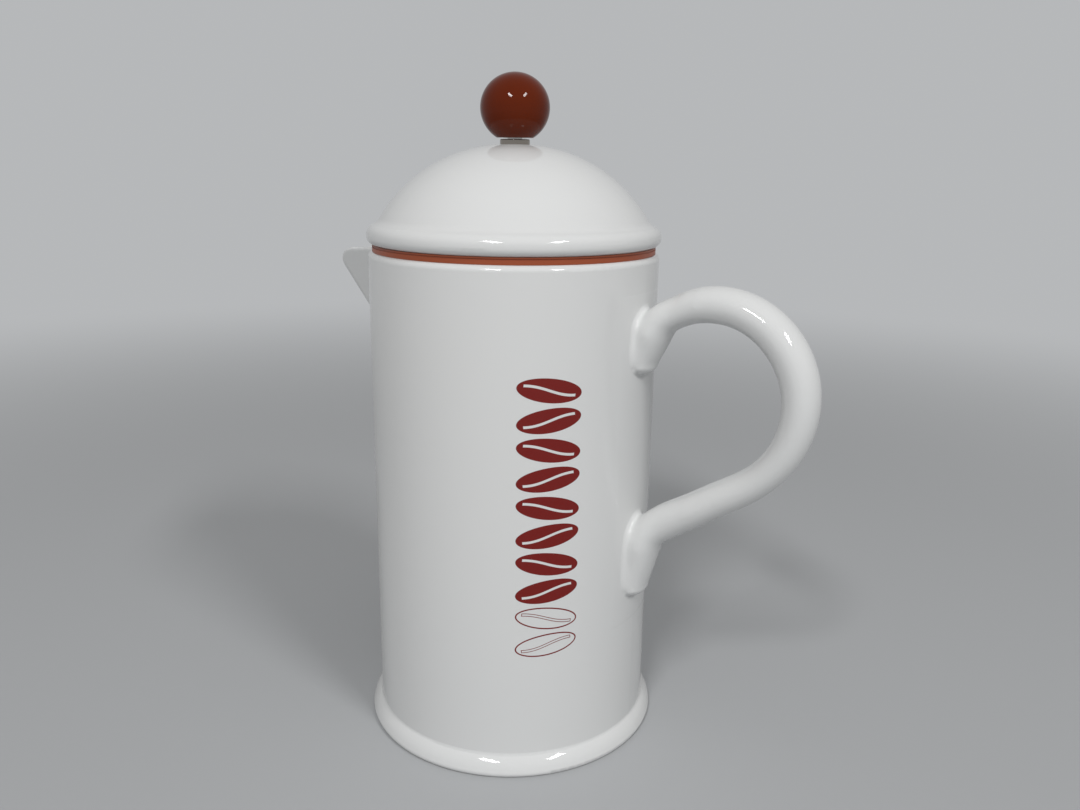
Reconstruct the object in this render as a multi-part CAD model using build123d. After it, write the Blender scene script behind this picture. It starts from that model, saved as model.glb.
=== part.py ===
from build123d import *
import math
import os

# Chocolate pot: a tall cylindrical porcelain pot with a beak spout and a looped handle, a domed
# lid on a soft seal ring, and a frothing plunger whose rod slides through a collar in the lid.
# Frame: +Z up, origin on the resting plane at the pot's axis, handle towards +X, spout towards -X.
# Lengths are in millimetres.

# Pot shell
body_radius = 50.0
body_wall = 4.5
pot_height = 172.4
floor_thickness = 6.0
floor_round = 7.0
rim_outer_round = 2.0
rim_inner_round = 1.2
foot_flare = 3.6
foot_height = 7.0
foot_swell = 1.0
foot_edge_round = 1.6
foot_neck_round = 1.2
foot_ring_width = 7.0
foot_ring_draft = 2.0
underside_recess = 2.6

# Beak spout
spout_reach = 31.4
spout_keel_angle = 51.7
spout_flank_angle = 17.0
spout_tip_radius = 6.0
spout_wall = 3.0
spout_drop = 2.0
spout_brow_setback = 14.6
spout_brow_drop = 3.4
spout_brow_round = 10.0
spout_nose_round = 6.0
spout_root_inset = 8.0
spout_foot_radius = 4.5
channel_foot_radius = 1.4
beak_overshoot = 1.1
notch_half_width = 6.0
notch_depth = 24.0

# Handle: a looped bar of oval section with both ends bent down on the wall as tongues
# Its loop is given as (angle, radius of the centre line, thickness) about an upper and a lower centre
loop_stand_off = 23.0
loop_centre_z = 130.5
lower_centre_shift = 3.5
upper_loop = (
    (116, 28.3, 10.7),
    (103, 28.8, 11.3),
    (90, 29.25, 11.9),
    (75, 29.6, 12.1),
    (60, 29.8, 12.3),
    (45, 29.8, 12.4),
    (30, 29.8, 12.3),
    (15, 29.8, 12.0),
)
lower_loop = (
    (0, 33.3, 11.7),
    (-15, 33.3, 11.3),
    (-30, 33.3, 10.9),
    (-45, 33.35, 10.7),
    (-57, 33.6, 11.0),
)
run_slope = 33.1
run_end_thickness = 12.2
knee_radius = 11.0
knee_stand_off = 14.2
toe_stand_off = 0.6
tongue_toe_round = 3.6
upper_toe_level = 134.9
lower_toe_level = 55.9
toe_thickness = 8.4
toe_width = 14.5
knee_thickness = 11.6
bar_width = 15.0
knee_width = 18.0
toe_steps = (0.03, 0.15, 0.4, 0.75, 1.0)
tongue_step = 3.0
lean_share = 2.0
knee_step = 20.0
run_steps = 3

# Lid
ring_height = 2.35
lid_overhang = 0.4
lid_lower_round = 2.6
lid_upper_round = 3.8
lid_bead_height = 3.1
lid_neck_round = 4.5
bead_proud = 1.79
dome_flat_radius = 2.3
dome_rise = 35.4
lid_wall = 4.2
skirt_gap = 2.9
skirt_wall = 3.2
skirt_depth = 9.0
skirt_end_round = 1.0
boss_radius = 9.5
boss_height = 1.2

# Seal ring
ring_inset = 1.4
ring_groove_depth = 0.3
ring_groove_height = 0.4
ring_groove_level = 1.45
ring_sleeve_depth = 7.5
ring_lip_height = 1.4
ring_lip_gap = 0.35
ring_sleeve_gap = 1.2
fit_gap = 0.05

# Collar through the lid
collar_radius = 5.05
collar_rise = 1.55
collar_edge_round = 0.35
shank_radius = 3.9
shank_gap = 0.2
seat_depth = 0.9
seat_gap = 0.25
gasket_thickness = 0.6
under_gasket_radius = 7.0
washer_radius = 7.8
washer_thickness = 0.8
nut_across_flats = 12.0
nut_height = 3.2
nut_corner_trim = 0.8
shank_past_nut = 1.0

# Rod and knob
rod_radius = 2.5
rod_bore_gap = 0.08
rod_end_chamfer = 0.5
knob_radius = 11.7
knob_half_height = 11.4
knob_collar_gap = 0.45
knob_flat_drop = 9.7
knob_flat_round = 0.4
insert_radius = 4.0
insert_length = 11.0
rod_in_insert = 9.5

# Frothing head at the foot of the rod
head_floor_gap = 1.5
head_wall_gap = 0.7
cap_nut_height = 6.5
cap_nut_flats = 9.0
cap_nut_dome_radius = 4.2
cap_nut_dome_height = 1.8
rod_in_cap_nut = 4.5
cross_plate_thickness = 1.2
cross_plate_inset = 0.6
cross_hub_radius = 9.0
cross_rim_width = 3.0
cross_arm_width = 6.0
cross_arm_count = 6
mesh_thickness = 0.5
mesh_lip_height = 2.6
froth_plate_thickness = 1.0
froth_hole_radius = 2.2
froth_hole_pitch = 8.5
froth_edge_margin = 6.1
froth_row_pitch = 7.5
froth_hub_margin = 5.0
spring_wire_radius = 1.3
hub_collar_radius = 6.0
hub_collar_height = 5.0
hub_collar_round = 0.8

# Levels and radii that follow
mouth_radius = body_radius - body_wall
foot_radius = body_radius + foot_flare
floor_top = underside_recess + floor_thickness
skirt_radius = mouth_radius - skirt_gap
ring_radius = body_radius - ring_inset
lid_edge_radius = body_radius + lid_overhang
lid_base = pot_height + ring_height
dome_top = pot_height + dome_rise
bead_centre_z = lid_base + lid_bead_height
bead_centre_radius = lid_edge_radius - lid_upper_round
bead_sink = lid_upper_round - bead_proud
bead_out = bead_centre_radius - dome_flat_radius
bead_down = dome_top - bead_centre_z
dome_radius = (bead_out**2 + bead_down**2 - bead_sink**2) / (2 * (bead_down - bead_sink))
dome_centre_z = dome_top - dome_radius
seat_level = dome_top - seat_depth
collar_top = dome_top + collar_rise
knob_bottom = collar_top + knob_collar_gap
knob_centre_z = knob_bottom + knob_flat_drop
boss_level = dome_top - lid_wall - boss_height
washer_top = boss_level - gasket_thickness
nut_top = washer_top - washer_thickness
shank_end = nut_top - nut_height - shank_past_nut
cap_nut_bottom = floor_top + head_floor_gap
cross_plate_level = cap_nut_bottom + cap_nut_height
mesh_level = cross_plate_level + cross_plate_thickness
froth_plate_level = mesh_level + mesh_thickness
hub_collar_level = froth_plate_level + froth_plate_thickness
mesh_radius = mouth_radius - head_wall_gap
spring_ring_radius = mesh_radius - mesh_thickness - fit_gap - spring_wire_radius
froth_plate_radius = spring_ring_radius - spring_wire_radius - fit_gap
cross_plate_radius = froth_plate_radius - cross_plate_inset
froth_row_outer = froth_plate_radius - froth_edge_margin
froth_row_inner = hub_collar_radius + froth_hub_margin
rod_fit_radius = rod_radius + fit_gap
rod_bottom = cross_plate_level - rod_in_cap_nut
rod_top = knob_bottom + rod_in_insert


def turned(face):
    """Solid of revolution about Z of a face drawn with X as radius and Y as height."""
    return revolve(Plane.XZ * face, Axis.Z, 360)


def rounded(face, corners):
    """Face with the corner nearest to each given point rounded by the radius beside it."""
    for point, radius in corners:
        corner = face.vertices().sort_by_distance(Vector(*point, 0))[0]
        face = fillet(corner, radius)
    return face


def disc(radius, bottom, height, bore=0.0):
    """Flat round plate standing on a level, with an optional hole at its centre."""
    face = Circle(radius)
    if bore > 0:
        face -= Circle(bore)
    return extrude(Pos(0, 0, bottom) * face, height)


def hex_nut(across_flats, bottom, height, bore):
    """Hexagon nut with its corners trimmed round at both ends."""
    corner_radius = across_flats / math.sqrt(3)
    corner_cut = (corner_radius - across_flats / 2) * nut_corner_trim
    trim = disc(corner_radius, bottom, height)
    trim = chamfer(trim.edges().filter_by(GeomType.CIRCLE), corner_cut)
    nut = extrude(Pos(0, 0, bottom) * RegularPolygon(corner_radius, 6), height) & trim
    return nut - disc(bore, bottom, height)


def spheroid(radius, half_height, centre_z, bottom, height):
    """Flattened ball about the axis, kept between two levels."""
    ball = Pos(0, 0, centre_z) * scale(Sphere(radius), by=(1, 1, half_height / radius))
    return ball & disc(2 * radius, bottom, height)


def polar(centre, radius, degrees):
    """Point at an angle on a circle."""
    turn = math.radians(degrees)
    return (centre[0] + radius * math.cos(turn), centre[1] + radius * math.sin(turn))


def between(start, end, share):
    """Value part of the way from one to another."""
    return start + (end - start) * share


def towards(start, end, distance):
    """Point at a distance from the start on the line to the end."""
    length = math.dist(start, end)
    return (
        start[0] + (end[0] - start[0]) * distance / length,
        start[1] + (end[1] - start[1]) * distance / length,
    )


# ---------------------------------------------------------------- pot body


def make_shell():
    swell_point = ((foot_radius + body_radius) / 2 + foot_swell, foot_height / 2)
    ring_inner = foot_radius - foot_ring_width
    recess_edge = (ring_inner - foot_ring_draft, underside_recess)
    outline = make_face(
        ThreePointArc((foot_radius, 0), swell_point, (body_radius, foot_height))
        + Polyline(
            (body_radius, foot_height),
            (body_radius, pot_height),
            (mouth_radius, pot_height),
            (mouth_radius, floor_top),
            (0, floor_top),
            (0, underside_recess),
            recess_edge,
            (ring_inner, 0),
            (foot_radius, 0),
        )
    )
    outline = rounded(
        outline,
        [
            ((foot_radius, 0), foot_edge_round),
            ((body_radius, foot_height), foot_neck_round),
            ((body_radius, pot_height), rim_outer_round),
            ((mouth_radius, pot_height), rim_inner_round),
            ((mouth_radius, floor_top), floor_round),
        ],
    )
    return turned(outline)


def make_notch():
    """Round-bottomed notch through the wall behind the spout, open at the rim."""
    slot = Pos(0, pot_height) * Rectangle(2 * notch_half_width, 2 * (notch_depth - notch_half_width))
    slot += Pos(0, pot_height - notch_depth + notch_half_width) * Circle(notch_half_width)
    plane = Plane(origin=(-mouth_radius + body_wall, 0, 0), x_dir=(0, -1, 0), z_dir=(-1, 0, 0))
    return extrude(plane * slot, 3 * body_wall)


# ---------------------------------------------------------------- spout

keel_slope = math.tan(math.radians(spout_keel_angle))
spout_top = pot_height - spout_drop
spout_tip_x = body_radius + spout_reach
spout_keel_foot = spout_top - spout_reach * keel_slope


def beak_section(tip_x, tip_radius, level):
    """Level section of the beak: straight flanks tangent to a round tip."""
    flank = math.radians(spout_flank_angle)
    root_x = body_radius - spout_root_inset
    touch_x = tip_x - tip_radius + tip_radius * math.sin(flank)
    touch_y = tip_radius * math.cos(flank)
    root_y = touch_y + (touch_x - root_x) * math.tan(flank)
    near = (-touch_x, -touch_y, level)
    far = (-touch_x, touch_y, level)
    flanks = Polyline(near, (-root_x, -root_y, level), (-root_x, root_y, level), far)
    return make_face(flanks + ThreePointArc(far, (-tip_x, 0, level), near))


def beak(inset, foot_level):
    """Solid that narrows from above the lip along a straight keel, drawn in all round by an inset."""
    rise = (spout_top - foot_level) * beak_overshoot
    reach = (spout_reach - inset) * beak_overshoot
    foot_tip_radius = max(spout_foot_radius - inset, channel_foot_radius)
    top_tip_radius = between(foot_tip_radius, spout_tip_radius - inset, beak_overshoot)
    return loft(
        [
            beak_section(body_radius + reach, top_tip_radius, foot_level + rise),
            beak_section(body_radius, foot_tip_radius, foot_level),
        ],
        ruled=True,
    )


def make_spout(shell_space):
    outer = beak(0, spout_keel_foot)
    root_x = body_radius - spout_root_inset
    brow = (spout_brow_setback - spout_tip_x, spout_top)
    nose = (spout_brow_drop / keel_slope - spout_tip_x, spout_top - spout_brow_drop)
    keel_foot = (-body_radius, spout_keel_foot)
    side = make_face(
        Polyline((-root_x, pot_height), brow, nose, keel_foot, (-root_x, spout_keel_foot), close=True)
    )
    side = rounded(side, [(brow, spout_brow_round), (nose, spout_nose_round)])
    outer = outer & extrude(Plane.XZ * side, body_radius, both=True)
    channel_foot = spout_keel_foot + spout_wall / math.cos(math.radians(spout_keel_angle))
    spout = outer - beak(spout_wall, channel_foot) - shell_space
    return spout


# ---------------------------------------------------------------- handle

upper_centre = (body_radius + loop_stand_off, loop_centre_z)
lower_centre = (upper_centre[0] - lower_centre_shift, loop_centre_z)
tongue_toe_x = body_radius + toe_stand_off
knee_centre_x = body_radius + knee_stand_off
entry_angle, entry_radius, entry_thickness = upper_loop[0]
loop_entry = polar(upper_centre, entry_radius, entry_angle)
upper_knee_turn = math.degrees(math.acos((loop_entry[0] - knee_centre_x) / knee_radius))
upper_knee = (knee_centre_x, loop_entry[1] - knee_radius * math.sin(math.radians(upper_knee_turn)))
run_angle, run_radius, run_thickness = lower_loop[-1]
run_start = polar(lower_centre, run_radius, run_angle)
run_direction = math.radians(run_slope)
lower_knee = (
    knee_centre_x,
    run_start[1]
    - (run_start[0] - knee_centre_x) * math.tan(run_direction)
    - knee_radius / math.cos(run_direction),
)
run_end = polar(lower_knee, knee_radius, 90 + run_slope)


def knee_lean(toe, knee_centre):
    """Angle round the knee at which the straight line up from the toe runs into it."""
    below = math.atan2(knee_centre[1] - toe[1], knee_centre[0] - toe[0])
    straight = math.sqrt(math.dist(toe, knee_centre) ** 2 - knee_radius**2)
    return 180 + math.degrees(below - math.atan2(straight, knee_radius))


def tongue_stations(toe_level, knee_centre):
    """Sections up a tongue from its rounded toe to its knee: centre, heading, thickness, width."""
    full = (tongue_toe_x, toe_level + tongue_toe_round)
    first_angle = knee_lean(full, knee_centre)
    knee_foot = polar(knee_centre, knee_radius, first_angle)
    length = math.dist(full, knee_foot)
    steps = round(length / tongue_step)
    stations = []
    for rise in toe_steps:
        swell = math.sqrt(1 - (1 - rise) ** 2)
        centre = (tongue_toe_x, toe_level + tongue_toe_round * rise)
        stations.append((centre, 90, toe_thickness * swell, toe_width * swell))
    for step in range(1, steps + 1):
        share = step / (steps + 1)
        thickness = between(toe_thickness, knee_thickness, share)
        width = between(toe_width, knee_width, share)
        heading = between(90, first_angle - 90, min(1, share * lean_share))
        stations.append((towards(full, knee_foot, length * share), heading, thickness, width))
    return stations


def knee_stations(toe_level, centre, last_angle, last_thickness):
    """Sections round a knee from its tongue to its bar: centre, heading, thickness, width."""
    first_angle = knee_lean((tongue_toe_x, toe_level + tongue_toe_round), centre)
    steps = math.ceil((first_angle - last_angle) / knee_step)
    stations = []
    for step in range(steps):
        share = step / steps
        angle = between(first_angle, last_angle, share)
        thickness = between(knee_thickness, last_thickness, share)
        width = between(knee_width, bar_width, share)
        stations.append((polar(centre, knee_radius, angle), angle - 90, thickness, width))
    return stations


def handle_stations():
    """Sections of the whole handle from the upper toe round the loop to the lower toe."""
    stations = tongue_stations(upper_toe_level, upper_knee)
    stations += knee_stations(upper_toe_level, upper_knee, upper_knee_turn, entry_thickness)
    for centre, loop in ((upper_centre, upper_loop), (lower_centre, lower_loop)):
        for angle, radius, thickness in loop:
            stations.append((polar(centre, radius, angle), angle - 90, thickness, bar_width))
    for step in range(1, run_steps + 1):
        share = step / run_steps
        point = towards(run_start, run_end, math.dist(run_start, run_end) * share)
        thickness = between(run_thickness, run_end_thickness, share)
        stations.append((point, run_slope - 180, thickness, bar_width))
    lower = tongue_stations(lower_toe_level, lower_knee)
    lower += knee_stations(lower_toe_level, lower_knee, 90 + run_slope, run_end_thickness)
    for point, heading, thickness, width in reversed(lower):
        stations.append((point, heading - 180, thickness, width))
    return stations


def make_handle(shell_space):
    sections = []
    for (x, z), heading, thickness, width in handle_stations():
        turn = math.radians(heading)
        plane = Plane(origin=(x, 0, z), x_dir=(0, 1, 0), z_dir=(math.cos(turn), 0, math.sin(turn)))
        sections.append(plane * Ellipse(width / 2, thickness / 2))
    return loft(sections) - shell_space


# ---------------------------------------------------------------- lid


def circles_meet(first, first_radius, second, second_radius):
    """Outer one of the two points that lie at given distances from two centres."""
    apart = math.dist(first, second)
    along = (first_radius**2 - second_radius**2 + apart**2) / (2 * apart)
    across = math.sqrt(first_radius**2 - along**2)
    unit = ((second[0] - first[0]) / apart, (second[1] - first[1]) / apart)
    base = (first[0] + unit[0] * along, first[1] + unit[1] * along)
    return (base[0] - unit[1] * across, base[1] + unit[0] * across)


def dome_height(radius, wall):
    """Height of the dome's surface at a radius, with the dome drawn in by a wall."""
    return dome_centre_z + math.sqrt((dome_radius - wall) ** 2 - (radius - dome_flat_radius) ** 2)


def make_lid_dome():
    dome_centre = (dome_flat_radius, dome_centre_z)
    bead_centre = (bead_centre_radius, bead_centre_z)
    neck_centre = circles_meet(
        dome_centre, dome_radius + lid_neck_round, bead_centre, lid_upper_round + lid_neck_round
    )
    bead_end = towards(bead_centre, neck_centre, lid_upper_round)
    dome_start = towards(dome_centre, neck_centre, dome_radius)
    neck_chord = ((bead_end[0] + dome_start[0]) / 2, (bead_end[1] + dome_start[1]) / 2)
    neck_middle = towards(neck_centre, neck_chord, lid_neck_round)
    bead_turn = math.degrees(math.atan2(bead_end[1] - bead_centre[1], bead_end[0] - bead_centre[0]))
    dome_turn = math.degrees(math.atan2(dome_start[1] - dome_centre_z, dome_start[0] - dome_flat_radius))
    hole_radius = shank_radius + shank_gap
    seat_radius = collar_radius + seat_gap
    skirt_inner = skirt_radius - skirt_wall
    skirt_end = pot_height - skirt_depth
    inner_start = (skirt_inner, dome_height(skirt_inner, lid_wall))
    inner_turn = math.degrees(math.atan2(inner_start[1] - dome_centre_z, skirt_inner - dome_flat_radius))
    outline = make_face(
        Polyline(
            (skirt_inner, skirt_end),
            (skirt_radius, skirt_end),
            (skirt_radius, lid_base),
            (lid_edge_radius, lid_base),
            (lid_edge_radius, bead_centre[1]),
        )
        + ThreePointArc(
            (lid_edge_radius, bead_centre[1]), polar(bead_centre, lid_upper_round, bead_turn / 2), bead_end
        )
        + ThreePointArc(bead_end, neck_middle, dome_start)
        + ThreePointArc(
            dome_start, polar(dome_centre, dome_radius, (dome_turn + 90) / 2), (dome_flat_radius, dome_top)
        )
        + Polyline(
            (dome_flat_radius, dome_top),
            (0, dome_top),
            (0, boss_level),
            (boss_radius, boss_level),
            (boss_radius, dome_height(boss_radius, lid_wall)),
        )
        + ThreePointArc(
            (boss_radius, dome_height(boss_radius, lid_wall)),
            polar(dome_centre, dome_radius - lid_wall, (inner_turn + 90) / 2),
            inner_start,
        )
        + Line(inner_start, (skirt_inner, skirt_end))
    )
    outline = rounded(
        outline,
        [
            ((lid_edge_radius, lid_base), lid_lower_round),
            ((skirt_radius, skirt_end), skirt_end_round),
            ((skirt_inner, skirt_end), skirt_end_round),
        ],
    )
    lid = turned(outline)
    lid -= disc(hole_radius, boss_level, dome_top - boss_level)
    return lid - disc(seat_radius, seat_level, seat_depth)


def make_seal_ring():
    inner = skirt_radius + fit_gap
    sleeve_outer = mouth_radius - ring_sleeve_gap
    lip_outer = mouth_radius - ring_lip_gap
    sleeve_end = pot_height - ring_sleeve_depth
    groove = pot_height + ring_groove_level
    outline = make_face(
        Polyline(
            (inner, lid_base),
            (ring_radius, lid_base),
            (ring_radius, groove + ring_groove_height),
            (ring_radius - ring_groove_depth, groove + ring_groove_height),
            (ring_radius - ring_groove_depth, groove),
            (ring_radius, groove),
            (ring_radius, pot_height),
            (sleeve_outer, pot_height),
            (sleeve_outer, sleeve_end + 2 * ring_lip_height),
            (lip_outer, sleeve_end + ring_lip_height),
            (sleeve_outer, sleeve_end),
            (inner, sleeve_end),
            close=True,
        )
    )
    return turned(outline)


def make_lid_collar():
    outline = make_face(
        Polyline(
            (rod_radius + rod_bore_gap, shank_end),
            (shank_radius, shank_end),
            (shank_radius, seat_level + gasket_thickness),
            (collar_radius, seat_level + gasket_thickness),
            (collar_radius, collar_top),
            (rod_radius + rod_bore_gap, collar_top),
            close=True,
        )
    )
    return turned(rounded(outline, [((collar_radius, collar_top), collar_edge_round)]))


def make_collar_gasket():
    return disc(collar_radius, seat_level, gasket_thickness, shank_radius + fit_gap)


def make_under_gasket():
    return disc(under_gasket_radius, washer_top, gasket_thickness, shank_radius + fit_gap)


def make_collar_washer():
    return disc(washer_radius, nut_top, washer_thickness, shank_radius + fit_gap)


def make_collar_nut():
    return hex_nut(nut_across_flats, nut_top - nut_height, nut_height, shank_radius + fit_gap)


# ---------------------------------------------------------------- plunger


def make_knob():
    ball = spheroid(knob_radius, knob_half_height, knob_centre_z, knob_bottom, 2 * knob_half_height)
    ball = fillet(ball.edges().group_by(Axis.Z)[0], knob_flat_round)
    return ball - disc(insert_radius + fit_gap, knob_bottom, insert_length)


def make_knob_insert():
    return disc(insert_radius, knob_bottom, insert_length) - disc(rod_fit_radius, knob_bottom, rod_in_insert)


def make_rod():
    rod = disc(rod_radius, rod_bottom, rod_top - rod_bottom)
    return chamfer(rod.edges().filter_by(GeomType.CIRCLE), rod_end_chamfer)


def make_hub_collar():
    collar = disc(hub_collar_radius, hub_collar_level, hub_collar_height)
    collar = fillet(collar.edges().sort_by(Axis.Z)[-1], hub_collar_round)
    return collar - disc(rod_fit_radius, hub_collar_level, hub_collar_height)


def make_froth_plate():
    plate = Circle(froth_plate_radius) - Circle(rod_fit_radius)
    row_count = 1 + math.floor((froth_row_outer - froth_row_inner) / froth_row_pitch)
    for row in range(row_count):
        row_radius = froth_row_outer - froth_row_pitch * row
        count = math.floor(2 * math.pi * row_radius / froth_hole_pitch)
        plate -= PolarLocations(row_radius, count) * Circle(froth_hole_radius)
    return extrude(Pos(0, 0, froth_plate_level) * plate, froth_plate_thickness)


def make_mesh_screen():
    lip_inner = mesh_radius - mesh_thickness
    outline = make_face(
        Polyline(
            (rod_fit_radius, mesh_level),
            (mesh_radius, mesh_level),
            (mesh_radius, mesh_level + mesh_lip_height),
            (lip_inner, mesh_level + mesh_lip_height),
            (lip_inner, mesh_level + mesh_thickness),
            (rod_fit_radius, mesh_level + mesh_thickness),
            close=True,
        )
    )
    return turned(outline)


def make_edge_spring():
    wire = Pos(spring_ring_radius, froth_plate_level + spring_wire_radius) * Circle(spring_wire_radius)
    return turned(wire)


def make_cross_plate():
    reach = cross_plate_radius - cross_rim_width / 2
    arm = Pos(reach / 2, 0) * Rectangle(reach, cross_arm_width)
    plate = Circle(cross_plate_radius) - Circle(cross_plate_radius - cross_rim_width)
    plate += Circle(cross_hub_radius)
    for turn in range(cross_arm_count):
        plate += Rot(0, 0, 360 / cross_arm_count * turn) * arm
    plate -= Circle(rod_fit_radius)
    return extrude(Pos(0, 0, cross_plate_level) * plate, cross_plate_thickness)


def make_cap_nut():
    hex_bottom = cap_nut_bottom + cap_nut_dome_height
    nut = hex_nut(cap_nut_flats, hex_bottom, cross_plate_level - hex_bottom, rod_fit_radius)
    floor_height = rod_bottom - fit_gap - hex_bottom
    nut += disc(rod_fit_radius, hex_bottom, floor_height)
    return nut + spheroid(
        cap_nut_dome_radius, cap_nut_dome_height, hex_bottom, cap_nut_bottom, cap_nut_dome_height
    )


# ---------------------------------------------------------------- assembly


def main():
    shell = make_shell()
    shell_space = Pos(0, 0, -pot_height / 2) * extrude(Circle(body_radius), 2 * pot_height)
    pieces = {
        "pot_body": shell - make_notch(),
        "spout": make_spout(shell_space),
        "handle": make_handle(shell_space),
        "lid_dome": make_lid_dome(),
        "seal_ring": make_seal_ring(),
        "lid_collar": make_lid_collar(),
        "collar_gasket": make_collar_gasket(),
        "under_gasket": make_under_gasket(),
        "collar_washer": make_collar_washer(),
        "collar_nut": make_collar_nut(),
        "knob": make_knob(),
        "knob_insert": make_knob_insert(),
        "plunger_rod": make_rod(),
        "hub_collar": make_hub_collar(),
        "froth_plate": make_froth_plate(),
        "mesh_screen": make_mesh_screen(),
        "edge_spring": make_edge_spring(),
        "cross_plate": make_cross_plate(),
        "cap_nut": make_cap_nut(),
    }
    os.makedirs("parts", exist_ok=True)
    for name, solid in pieces.items():
        export_step(solid, f"parts/{name}.step")


main()
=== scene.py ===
import math

import bmesh
import bpy
from mathutils import Matrix, Vector


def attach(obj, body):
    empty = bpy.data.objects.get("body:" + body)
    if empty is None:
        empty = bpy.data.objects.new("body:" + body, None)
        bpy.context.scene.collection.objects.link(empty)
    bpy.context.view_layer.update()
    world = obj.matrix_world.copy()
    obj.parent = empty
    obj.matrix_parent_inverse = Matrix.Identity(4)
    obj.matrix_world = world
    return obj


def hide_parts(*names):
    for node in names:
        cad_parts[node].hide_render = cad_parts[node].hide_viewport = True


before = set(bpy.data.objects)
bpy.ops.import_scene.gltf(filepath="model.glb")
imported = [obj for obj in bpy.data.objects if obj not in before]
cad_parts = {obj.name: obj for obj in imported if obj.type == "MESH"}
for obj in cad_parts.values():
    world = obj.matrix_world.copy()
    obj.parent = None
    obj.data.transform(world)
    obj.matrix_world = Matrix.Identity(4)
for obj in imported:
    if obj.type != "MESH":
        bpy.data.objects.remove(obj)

rimLevel = 0.1724
aim = Vector((0.01, 0, 0.12))  # what the lamps point at
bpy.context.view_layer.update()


# ---- camera, stage and lamps

cameraSettings = {
    "place": (0.16923, -0.27616, 0.20219),
    "turn": math.radians(-31.5) + 0.029633,  # heading, measured from +Y towards +X
    "tip": 0.25732,  # how far it looks down
    "roll": 0.012979,
    "sensor": 36,
    "focal": 924.76 / 1080,  # as a share of the picture's width
    "clip": (0.01, 20),
}


def makeCamera():
    s = cameraSettings
    data = bpy.data.cameras.new("camera")
    data.sensor_width = s["sensor"]
    data.lens = s["focal"] * s["sensor"]
    data.clip_start, data.clip_end = s["clip"]
    camera = bpy.data.objects.new("camera", data)
    bpy.context.collection.objects.link(camera)
    upright = Matrix.Rotation(math.pi / 2 - s["tip"], 4, "X")
    heading = Matrix.Rotation(-s["turn"], 4, "Z")
    rolled = Matrix.Rotation(s["roll"], 4, "Z")
    camera.matrix_world = Matrix.Translation(s["place"]) @ heading @ upright @ rolled
    bpy.context.scene.camera = camera


stageSettings = {
    "radius": 6.0,
    "segments": 96,
    "rough": 0.9,
    "specular": 0.15,
    "paper": (0.46, 0.47, 0.48, 1),
    "backdrop": (0.47, 0.48, 0.49, 1),  # the even tone that the floor runs into
    "blendFrom": 0.30,  # distances from the pot's axis
    "blendTo": 1.10,
}


def makeStage():
    s = stageSettings
    sheet = bmesh.new()
    bmesh.ops.create_circle(sheet, cap_ends=True, segments=s["segments"], radius=s["radius"])
    floor = addPiece("stage_floor", sheet)
    finish = Finish("stage_paper", Roughness=s["rough"], Specular_IOR_Level=s["specular"])
    finish.feed("Base Color", s["paper"])
    x, y, z = finish.axes()
    blend = finish.node(
        "MapRange",
        {"interpolation_type": "SMOOTHSTEP"},
        {"Value": hypotenuse(x, y), "From Min": s["blendFrom"], "From Max": s["blendTo"]},
    )
    far = finish.node("Emission", values={"Color": s["backdrop"]})
    lit = Signal(finish, finish.shader.outputs["BSDF"])
    shown = finish.node("MixShader", values={0: blend * seenDirectly(finish), 1: lit, 2: far})
    finish.join(finish.tree.nodes["Material Output"].inputs["Surface"], shown)
    floor.data.materials.append(finish.material)


def seenDirectly(finish):
    # 1 where the eye meets the backdrop straight or through gloss, 0 for the light it sends out
    kinds = ("Camera", "Glossy", "Transmission")
    camera, glossy, through = [finish.node("LightPath", output=f"Is {kind} Ray") for kind in kinds]
    return camera.maths("MAXIMUM", glossy).maths("MAXIMUM", through)


# side is measured from the camera's heading; only mirrored lamps show in glossy surfaces
lampSettings = {
    "left": {"side": -18, "rise": 40, "size": (0.70, 0.29), "twist": -38, "power": 28, "mirrored": True},
    "right": {"side": 40, "rise": 40, "size": (0.70, 0.29), "twist": 38, "power": 21, "mirrored": True},
    "top": {"side": 10, "rise": 62, "size": (2.4, 2.4), "twist": 0, "power": 12, "mirrored": False},
}
lampDistance = 2.7
worldSettings = {"Color": (1, 1, 1, 1), "Strength": 0.21}


def makeLamps():
    for name, s in lampSettings.items():
        data = bpy.data.lights.new("lamp_" + name, "AREA")
        data.shape = "RECTANGLE"
        data.size, data.size_y = s["size"]
        data.energy = s["power"]
        lamp = bpy.data.objects.new("lamp_" + name, data)
        lamp.visible_glossy = s["mirrored"]
        lamp.visible_camera = False
        bpy.context.collection.objects.link(lamp)
        turn = math.radians(s["side"]) - cameraSettings["turn"]
        rise = math.radians(s["rise"])
        out = Vector((math.sin(turn) * math.cos(rise), -math.cos(turn) * math.cos(rise), math.sin(rise)))
        place = Matrix.Translation(aim + out * lampDistance)
        twist = Matrix.Rotation(math.radians(s["twist"]), 4, "Z")
        lamp.matrix_world = place @ out.to_track_quat("Z", "Y").to_matrix().to_4x4() @ twist


def makeWorld():
    world = bpy.data.worlds.new("studio")
    bpy.context.scene.world = world
    world.use_nodes = True
    sky = Graph(world.node_tree)
    soft = sky.node("Background", values=worldSettings)
    shown = sky.node("Background", values={"Color": stageSettings["backdrop"], "Strength": 1})
    both = sky.node("MixShader", values={0: seenDirectly(sky), 1: soft, 2: shown})
    sky.join(sky.tree.nodes["World Output"].inputs["Surface"], both)
    bpy.context.scene.view_settings.view_transform = "Standard"


# ---- tools for pieces and finishes


def pourInto(mesh, shape):
    shape.to_mesh(mesh)
    shape.free()
    for face in mesh.polygons:
        face.use_smooth = True


def addPiece(name, shape):
    mesh = bpy.data.meshes.new(name)
    pourInto(mesh, shape)
    piece = bpy.data.objects.new(name, mesh)
    bpy.context.collection.objects.link(piece)
    return piece


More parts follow.
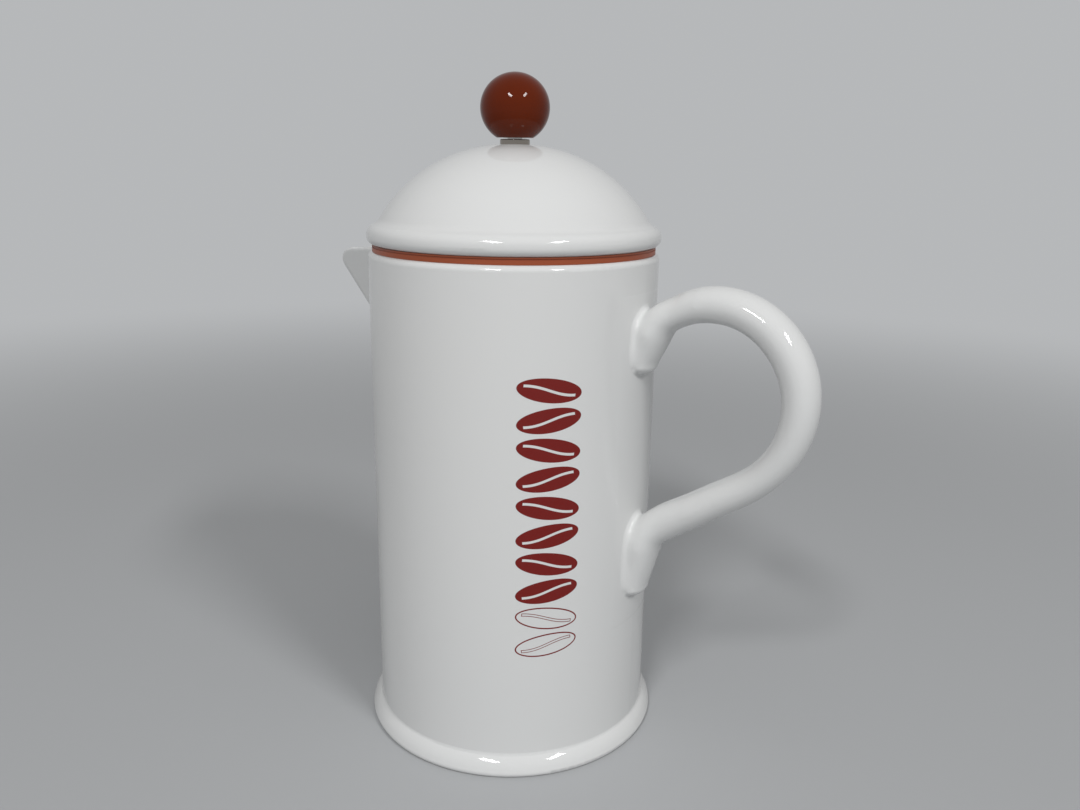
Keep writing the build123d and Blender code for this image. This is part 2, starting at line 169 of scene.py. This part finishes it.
class Signal:
    # one output of a node; sums and products of signals become maths nodes
    def __init__(self, graph, socket):
        self.graph, self.socket = graph, socket

    def maths(self, operation, *others):
        values = dict(enumerate((self,) + others))
        return self.graph.node("Math", {"operation": operation}, values)

    def reflected(self, operation, other):
        return self.graph.node("Math", {"operation": operation}, {0: other, 1: self})

    def __add__(self, other):
        return self.maths("ADD", other)

    def __radd__(self, other):
        return self.reflected("ADD", other)

    def __sub__(self, other):
        return self.maths("SUBTRACT", other)

    def __rsub__(self, other):
        return self.reflected("SUBTRACT", other)

    def __mul__(self, other):
        return self.maths("MULTIPLY", other)

    def __rmul__(self, other):
        return self.reflected("MULTIPLY", other)

    def __truediv__(self, other):
        return self.maths("DIVIDE", other)

    def __pow__(self, other):
        return self.maths("POWER", other)

    def __gt__(self, other):
        return self.maths("GREATER_THAN", other)

    def __lt__(self, other):
        return self.maths("LESS_THAN", other)

    def __abs__(self):
        return self.maths("ABSOLUTE")


def hypotenuse(first, second):
    return (first * first + second * second) ** 0.5


def clamped(signal):
    return signal.maths("MINIMUM", 1).maths("MAXIMUM", 0)


class Graph:
    def __init__(self, tree):
        self.tree = tree

    def node(self, kind, settings=None, values=None, output=0):
        made = self.tree.nodes.new("ShaderNode" + kind)
        for key, value in (settings or {}).items():
            setattr(made, key, value)
        for key, value in (values or {}).items():
            self.join(made.inputs[key], value)
        return Signal(self, made.outputs[output])

    def join(self, socket, value):
        if isinstance(value, Signal):
            self.tree.links.new(value.socket, socket)
        else:
            socket.default_value = value

    def place(self):
        return self.node("TexCoord", output="Object")

    def axes(self):
        place = self.place()
        return [self.node("SeparateXYZ", values={0: place}, output=axis) for axis in "XYZ"]

    def noise(self, scale, detail=3, vector=None):
        values = {"Vector": vector or self.place(), "Scale": scale, "Detail": detail}
        return self.node("TexNoise", values=values, output="Fac")

    def mix(self, share, first, second):
        values = {"Factor": share, 6: first, 7: second}
        return self.node("Mix", {"data_type": "RGBA"}, values, output=2)


class Finish(Graph):
    # one material; its constants go straight on the shader's sockets
    def __init__(self, name, **constants):
        self.material = bpy.data.materials.new(name)
        self.material.use_nodes = True
        super().__init__(self.material.node_tree)
        self.shader = self.tree.nodes["Principled BSDF"]
        for socket, value in constants.items():
            self.shader.inputs[socket.replace("_", " ")].default_value = value

    def feed(self, socket, value):
        self.join(self.shader.inputs[socket], value)

    def feedBump(self, height, strength, distance):
        values = {"Height": height, "Strength": strength, "Distance": distance}
        self.feed("Normal", self.node("Bump", values=values))


# ---- porcelain

glazeSettings = {
    "colour": (0.735, 0.735, 0.725, 1),
    "pooled": (0.705, 0.715, 0.715, 1),  # where the glaze lies a little thicker
    "cloud": 9,  # noise scale of the drift between the two
    "rough": 0.030,
    "roughDrift": 0.035,
    "roughScale": 60,
    "bare": (0.62, 0.58, 0.52, 1),  # unglazed clay of the standing ring
    "speckle": (0.50, 0.45, 0.39, 1),
    "speckleFrom": 0.66,  # share of the noise above which a speckle shows
    "bareLevel": 0.00025,
    "bareSteep": 8000,
    "bareRough": 0.6,
    "waveScale": 30,
    "rippleScale": 140,
    "rippleShare": 0.08,
    "bump": (0.08, 0.0006),  # strength and distance
}
printSettings = {
    "ink": (0.180, 0.0030, 0.0005, 1),
    "outside": 0.0499,  # radius past which the wall is printed
    "radius": 0.050,
    "turn": math.radians(-45.5),
    "length": 0.0106,  # half of a bean, across the column
    "breadth": 0.0039,
    "pitch": 0.0096,
    "lowest": 0.0430,
    "count": 10,
    "outlined": 2,  # beans at the foot that are drawn as a thin line
    "tilt": math.radians(7),
    "seam": 0.00042,  # half of its width
    "seamReach": 0.80,  # share of the bean's length that it crosses
    "seamBend": 2.6,
    "seamSwing": 0.24,  # share of the bean's breadth
    "line": 0.00024,
    "soft": 0.00010,
}


def beanPrint(finish, x, y, z):
    # a column of cocoa beans lying across the wall, each with a curved seam
    p = printSettings
    across = (y.maths("ARCTAN2", x) - p["turn"]) * p["radius"]
    up = (z - p["lowest"]) / p["pitch"]
    row = up.maths("FLOOR")
    side = 1 - 2 * (row.maths("MODULO", 2))
    rise = (up - row - 0.5) * p["pitch"]
    along = across * math.cos(p["tilt"]) + rise * side * math.sin(p["tilt"])
    over = rise * math.cos(p["tilt"]) - across * side * math.sin(p["tilt"])
    nearly = (along * along / p["length"] ** 2 + over * over / p["breadth"] ** 2) ** 0.5  # 1 on the outline
    steep = (along * along / p["length"] ** 4 + over * over / p["breadth"] ** 4) ** 0.5
    edge = (nearly - 1) * nearly / (steep + 0.001)
    wave = (along * (p["seamBend"] / p["length"])).maths("SINE") * (p["breadth"] * p["seamSwing"])
    seam = abs(over - wave * side) - p["seam"]
    seamLine = seam.maths("MAXIMUM", abs(along) - p["length"] * p["seamReach"])
    solid = inked(edge) * (1 - inked(seamLine))
    rim = inked(abs(edge + p["line"]) - p["line"])
    thin = rim.maths("MAXIMUM", inked(abs(seamLine) - p["line"] / 2))
    bean = finish.node("Mix", values={"Factor": row > p["outlined"] - 0.5, 2: thin, 3: solid})
    inRow = (row > -0.5) * (row < p["count"] - 0.5)
    outside = hypotenuse(x, y) > p["outside"]
    return bean * inRow * outside


def inked(distance):
    # full inside the shape, none outside, with an edge as soft as print
    return clamped(0.5 - distance / printSettings["soft"])


def glazeFinish(name, printed=False):
    g = glazeSettings
    finish = Finish(name, IOR=1.5)
    x, y, z = finish.axes()
    colour = finish.mix(finish.noise(g["cloud"], 2), g["colour"], g["pooled"])
    rough = g["rough"] + finish.noise(g["roughScale"]) * g["roughDrift"]
    if printed:
        colour = finish.mix(beanPrint(finish, x, y, z), colour, printSettings["ink"])
    bare = clamped((g["bareLevel"] - z) * g["bareSteep"] + finish.noise(900))
    speckled = finish.mix(finish.noise(2500, 2) > g["speckleFrom"], g["bare"], g["speckle"])
    finish.feed("Base Color", finish.mix(bare, colour, speckled))
    finish.feed("Roughness", rough + bare * g["bareRough"])
    waves = finish.noise(g["waveScale"], 2) + finish.noise(g["rippleScale"], 2) * g["rippleShare"]
    finish.feedBump(waves, *g["bump"])
    return finish.material


# ---- rubber, metal and lacquer

rubberSettings = {
    "ring_rubber": (0.32, 0.068, 0.022, 1),
    "gasket_rubber": (0.022, 0.021, 0.020, 1),
}


def rubberFinish(name):
    finish = Finish(name)
    finish.feed("Base Color", rubberSettings[name])
    finish.feed("Roughness", 0.36 + finish.noise(900, 2) * 0.12)
    finish.feedBump(finish.noise(2500, 2), 0.2, 0.0001)
    return finish.material


metalSettings = {
    "collar_chrome": {"colour": (0.37, 0.33, 0.29, 1), "rough": 0.10, "lines": 5200},
    "rod_steel": {"colour": (0.62, 0.61, 0.60, 1), "rough": 0.14, "lines": 3600},
    "turned_steel": {"colour": (0.60, 0.60, 0.59, 1), "rough": 0.16, "lines": 4200},
    "plate_steel": {"colour": (0.55, 0.55, 0.545, 1), "rough": 0.24, "lines": 2600},
    "spring_wire": {"colour": (0.58, 0.575, 0.56, 1), "rough": 0.20, "lines": 3000},
    "insert_brass": {"colour": (0.78, 0.55, 0.22, 1), "rough": 0.24, "lines": 4200},
}
tarnish = 0.80  # brightness of a metal's stains
meshSettings = {
    "pitch": 0.00060,
    "weave": 0.35,  # how far the wires pass over one another
    "open": -0.12,  # cosine below which there is no wire
    "edge": 0.0438,  # past this radius the folded band is plain
    "light": (0.56, 0.55, 0.53, 1),
    "dark": (0.44, 0.43, 0.41, 1),
    # painted shade: near-black colour of the openings, standing in for the dark seen through them
    "hole": (0.012, 0.012, 0.013, 1),
}
knobSettings = {
    "light": (0.132, 0.0160, 0.0004, 1),
    "dark": (0.100, 0.0110, 0.0003, 1),
    "rough": 0.03,
    "roughDrift": 0.04,
    "bump": (0.02, 0.0004),  # strength and distance
}


def turnedLines(finish, lines):
    # marks of turning: they run round the axis and change along radius and height
    x, y, z = finish.axes()
    along = finish.node("CombineXYZ", values={"X": hypotenuse(x, y), "Y": z, "Z": 0.5})
    return finish.noise(lines, 2, along)


def metalFinish(name):
    m = metalSettings[name]
    finish = Finish(name, Metallic=1.0)
    marks = turnedLines(finish, m["lines"])
    stains = finish.noise(120, 4)
    dark = tuple(tarnish * part for part in m["colour"][:3]) + (1,)
    finish.feed("Base Color", finish.mix(stains * 0.5 + marks * 0.3, m["colour"], dark))
    finish.feed("Roughness", m["rough"] + stains * 0.06 + marks * 0.08)
    finish.feedBump(marks, 0.25, 0.00002)
    return finish.material


def meshFinish(name):
    # woven wire in two directions; the openings between the wires are not cut through but painted
    # near-black as shade
    m = meshSettings
    finish = Finish(name)
    x, y, z = finish.axes()
    turn = 2 * math.pi / m["pitch"]
    warp = (x * turn).maths("COSINE")
    weft = (y * turn).maths("COSINE")
    over = (x * (turn / 2)).maths("COSINE") * (y * (turn / 2)).maths("COSINE") * m["weave"]
    height = (warp + over).maths("MAXIMUM", weft - over)
    inside = hypotenuse(x, y) < m["edge"]
    opening = (height < m["open"]) * inside
    marks = finish.noise(900)
    # the openings get the painted shade colour in place of real holes
    finish.feed("Base Color", finish.mix(opening, finish.mix(marks, m["light"], m["dark"]), m["hole"]))
    finish.feed("Metallic", 1 - opening)
    finish.feed("Roughness", 0.26 + marks * 0.08 + opening * 0.5)
    finish.feedBump(height * inside, 0.5, 0.00008)
    return finish.material


def knobFinish(name):
    k = knobSettings
    finish = Finish(name, IOR=1.45, Specular_IOR_Level=0.22)
    finish.feed("Base Color", finish.mix(finish.noise(70), k["light"], k["dark"]))
    finish.feed("Roughness", k["rough"] + finish.noise(160) * k["roughDrift"])
    finish.feedBump(finish.noise(90, 2), *k["bump"])
    return finish.material


def setFinish(material, *nodes):
    for node in nodes:
        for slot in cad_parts[node].material_slots:
            slot.material = material


# ---- porcelain pieces that run softly into the wall

handleSettings = {
    "node": "handle",
    "low": (0.0455, -0.0170, 0.043),  # corners of the block of wall that joins it
    "high": (0.0560, 0.0170, 0.165),
    "grain": 0.00047,  # voxel size
    "passes": 12,  # smoothing of the whole piece
    # more smoothing near the wall: reach and passes
    "rootStages": (
        (0.030, 12), (0.024, 12), (0.019, 12), (0.012, 12), (0.0075, 14), (0.005, 14), (0.003, 14),
    ),
    "keep": ((0.0535, 0.0585), (0.1325, 0.1375)),  # levels of the two toes, which stay crisp
}
spoutSettings = {
    "node": "spout",
    "low": (-0.0600, -0.0228, 0.1215),
    "high": (-0.0400, 0.0228, 0.176),
    "grain": 0.00035,
    "passes": 24,
    "rootStages": ((0.0034, 10), (0.0026, 10), (0.0017, 10), (0.0010, 10)),
    "keep": (),
}
wallSettings = {
    "outer": 0.0500,
    "inner": 0.0455,
    "proud": 0.00003,  # how far a piece's skin stands over the wall
    "sunk": -0.00008,  # where it runs out under the wall at its border
    "feather": 0.0045,
    "near": 0.00010,  # skin this close to the wall is laid on it, and from there to far less and less
    "far": 0.00030,
    "weld": 0.000002,
    "keepSpread": 0.12,  # how far a crisp level grows upwards, as a share of the reach
}


def mergedCopy(node):
    shape = bmesh.new()
    shape.from_mesh(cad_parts[node].data)
    bmesh.ops.remove_doubles(shape, verts=shape.verts, dist=wallSettings["weld"])
    return shape


def applyModifiers(piece):
    seen = piece.evaluated_get(bpy.context.evaluated_depsgraph_get())
    mesh = bpy.data.meshes.new_from_object(seen)
    piece.modifiers.clear()
    piece.data = mesh


def wallBlock(low, high):
    cutter = bmesh.new()
    bmesh.ops.create_cube(cutter, size=1)
    size = Vector(high) - Vector(low)
    bmesh.ops.scale(cutter, verts=cutter.verts, vec=size)
    bmesh.ops.translate(cutter, verts=cutter.verts, vec=(Vector(low) + Vector(high)) / 2)
    block = addPiece("wall_block", cutter)
    wall = addPiece("wall_copy", mergedCopy("pot_body"))
    cut = block.modifiers.new("keep_wall", "BOOLEAN")
    cut.operation, cut.object, cut.solver = "INTERSECT", wall, "EXACT"
    applyModifiers(block)
    bpy.data.objects.remove(wall)
    return block


def smoothed(shape, verts, passes):
    everyAxis = {"use_axis_" + axis: True for axis in "xyz"}
    for step in range(passes):
        bmesh.ops.smooth_vert(shape, verts=verts, factor=0.5, **everyAxis)


def borderShare(place, settings):
    # 0 at the border of a piece's skin, 1 a feather's width inside it
    inside = min(place.y - settings["low"][1], settings["high"][1] - place.y, place.z - settings["low"][2])
    if settings["high"][2] < rimLevel:
        inside = min(inside, settings["high"][2] - place.z)
    return max(0, min(1, inside / wallSettings["feather"]))


def settleOnWall(shape, settings):
    w = wallSettings
    for vert in shape.verts:
        radius = math.hypot(vert.co.x, vert.co.y)
        proud = w["sunk"] + (w["proud"] - w["sunk"]) * borderShare(vert.co, settings)
        for wall, over in ((w["outer"], proud), (w["inner"], -proud)):
            off = abs(radius - wall)
            if off < w["far"]:
                share = min(1, (w["far"] - off) / (w["far"] - w["near"]))
                pull = 1 + ((wall + over) / radius - 1) * share
                vert.co.x *= pull
                vert.co.y *= pull


def nearRoot(vert, settings, reach):
    past = math.hypot(vert.co.x, vert.co.y) - wallSettings["outer"]
    spread = reach * wallSettings["keepSpread"]
    kept = any(low < vert.co.z < high + spread for low, high in settings["keep"])
    return abs(past) < reach and not kept


def softPiece(name, settings):
    block = wallBlock(settings["low"], settings["high"])
    joined = mergedCopy(settings["node"])
    joined.from_mesh(block.data)
    bpy.data.objects.remove(block)
    piece = addPiece(name, joined)
    remesh = piece.modifiers.new("clay", "REMESH")
    remesh.mode, remesh.voxel_size = "VOXEL", settings["grain"]
    applyModifiers(piece)
    shape = bmesh.new()
    shape.from_mesh(piece.data)
    smoothed(shape, shape.verts, settings["passes"])
    for reach, passes in settings["rootStages"]:
        smoothed(shape, [vert for vert in shape.verts if nearRoot(vert, settings, reach)], passes)
    settleOnWall(shape, settings)
    pourInto(piece.data, shape)
    piece.data.materials.clear()
    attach(piece, "pot")
    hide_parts(settings["node"])
    print(name, "made:", len(piece.data.polygons), "faces")
    return piece


# ---- coil spring round the edge of the frothing head

springSettings = {
    "ring": 0.04320,
    "level": 0.02035,
    "coil": 0.00079,
    "wire": 0.00021,
    "turns": 250,
    "steps": 10,  # round one turn
    "sides": 5,  # round the wire
    "weld": 0.00002,
}


def edgeSpring():
    s = springSettings
    length = 2 * math.pi * s["ring"]
    shape = bmesh.new()
    ring = bmesh.ops.create_circle(shape, segments=s["sides"], radius=s["wire"], cap_ends=False)["verts"]
    for axis in "YZ":
        upright = Matrix.Rotation(math.pi / 2, 3, axis)
        bmesh.ops.rotate(shape, verts=ring, cent=(0, 0, 0), matrix=upright)
    bmesh.ops.translate(shape, verts=ring, vec=(0, 0, s["coil"]))
    pitch = length / s["turns"]
    bmesh.ops.spin(
        shape, geom=ring + shape.edges[:], cent=(0, 0, 0), axis=(1, 0, 0),
        dvec=(pitch / s["steps"], 0, 0), angle=2 * math.pi, steps=s["steps"],
    )
    firstTurn = shape.verts[:] + shape.edges[:] + shape.faces[:]
    for turn in range(1, s["turns"]):
        copied = bmesh.ops.duplicate(shape, geom=firstTurn)["geom"]
        verts = [part for part in copied if isinstance(part, bmesh.types.BMVert)]
        bmesh.ops.translate(shape, verts=verts, vec=(pitch * turn, 0, 0))
    for vert in shape.verts:
        turn = vert.co.x / s["ring"]
        radius = s["ring"] + vert.co.y
        vert.co = (radius * math.cos(turn), radius * math.sin(turn), s["level"] + vert.co.z)
    bmesh.ops.remove_doubles(shape, verts=shape.verts, dist=s["weld"])
    bmesh.ops.recalc_face_normals(shape, faces=shape.faces)
    spring = addPiece("edge_coil", shape)
    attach(spring, "plunger")
    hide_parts("edge_spring")
    print("edge spring made:", len(spring.data.polygons), "faces")
    return spring


# ---- making

makeCamera()
makeStage()
makeLamps()
makeWorld()
print("camera, stage and lamps made")

glaze = glazeFinish("glaze")
setFinish(glaze, "lid_dome")
setFinish(glazeFinish("glaze_printed", printed=True), "pot_body")
for name, settings in (("handle_soft", handleSettings), ("spout_soft", spoutSettings)):
    softPiece(name, settings).data.materials.append(glaze)
edgeSpring().data.materials.append(metalFinish("spring_wire"))
print("soft pieces and spring made")

setFinish(rubberFinish("ring_rubber"), "seal_ring")
setFinish(rubberFinish("gasket_rubber"), "collar_gasket", "under_gasket")
setFinish(knobFinish("knob_lacquer"), "knob")
setFinish(metalFinish("insert_brass"), "knob_insert")
setFinish(metalFinish("collar_chrome"), "lid_collar")
setFinish(metalFinish("rod_steel"), "plunger_rod")
setFinish(metalFinish("turned_steel"), "hub_collar", "cap_nut", "collar_nut", "collar_washer")
setFinish(metalFinish("plate_steel"), "froth_plate", "cross_plate")
setFinish(meshFinish("woven_mesh"), "mesh_screen")
print("finishes made")
